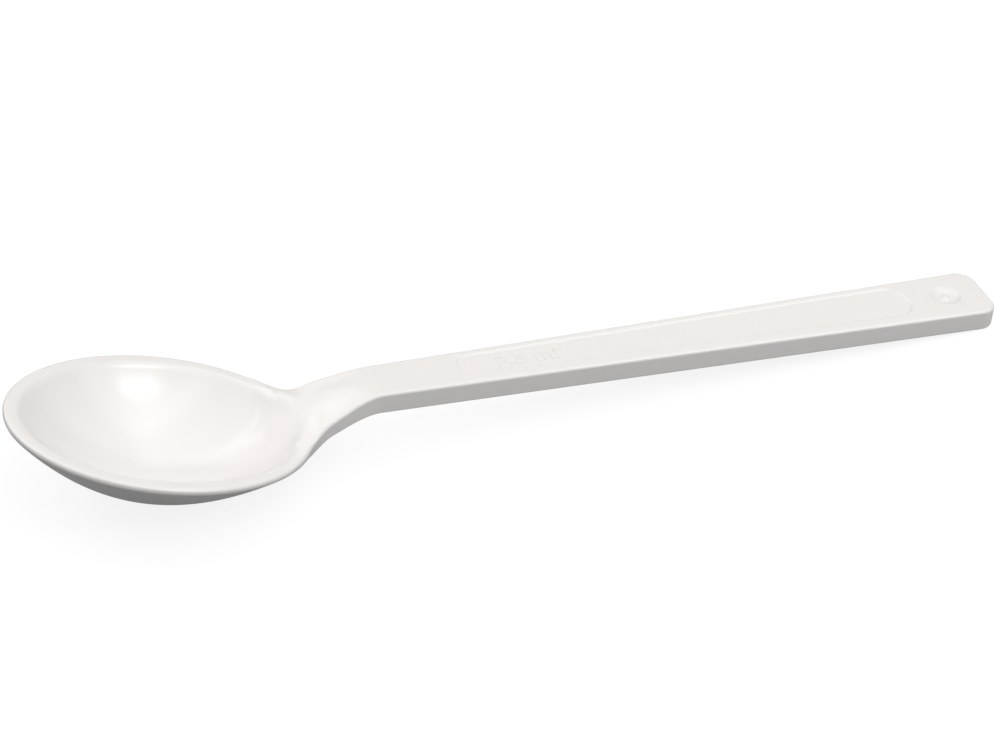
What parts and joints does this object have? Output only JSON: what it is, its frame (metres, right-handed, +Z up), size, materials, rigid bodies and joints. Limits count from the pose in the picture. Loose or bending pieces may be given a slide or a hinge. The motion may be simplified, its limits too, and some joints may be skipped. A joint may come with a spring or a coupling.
{
  "type": "sampling spoon",
  "caption": "Moulded white plastic sampling spoon: oval bowl with a flat lip, a neck that rises out of the rim and a straight tapered handle with a recessed panel.",
  "frame": {"origin": "middle of the spoon's footprint on the table that it lies on, belly and handle end down", "axes": "+X from the bowl's tip towards the handle's end, +Y across the spoon, +Z up from the table"},
  "size_m": [0.1272, 0.0278, 0.0148],
  "materials": {
    "white_plastic": "smooth glossy moulded polystyrene, warm white"
  },
  "bodies": {
    "root": {"bowl": "white_plastic", "neck": "white_plastic", "handle": "white_plastic"}
  },
  "joints": []
}
